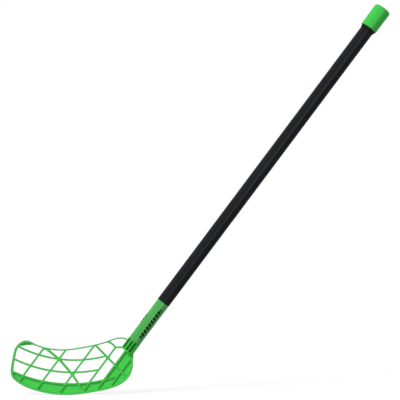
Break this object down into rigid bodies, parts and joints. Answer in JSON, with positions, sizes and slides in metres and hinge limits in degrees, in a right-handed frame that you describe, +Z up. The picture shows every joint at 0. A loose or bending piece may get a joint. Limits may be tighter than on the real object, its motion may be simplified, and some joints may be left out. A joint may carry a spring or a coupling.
{
  "type": "floorball stick",
  "caption": "Floorball stick: a round shaft with a black grip, a push-on end cap and a curved plastic mesh blade, held in its playing lean.",
  "frame": {"origin": "on the shaft's axis, in the middle of the grip, where the stick is held", "axes": "+X from the blade's toe to its heel, +Y away from the face that the toe curls towards, +Z up; the blade's sole is level in the playing pose and the shaft leans up towards +X"},
  "size_m": [0.7466, 0.036, 0.772],
  "materials": {
    "composite": "satin",
    "label_film": "gloss",
    "grip_film": "satin",
    "bush_rubber": "matte",
    "cap_plastic": "satin",
    "blade_plastic": "satin",
    "screw_steel": "satin"
  },
  "bodies": {
    "stick": {"shaft_tube": "composite", "shaft_label": "label_film", "grip_sleeve": "grip_film", "blade": "blade_plastic", "blade_screws": "screw_steel"},
    "cap": {"end_cap": "cap_plastic", "cap_bush": "bush_rubber"}
  },
  "joints": [
    {"name": "cap_pull", "type": "slide", "parent": "stick", "child": "cap", "axis": [0.599, 0, 0.8007], "range_m": [0, 0.08]}
  ]
}
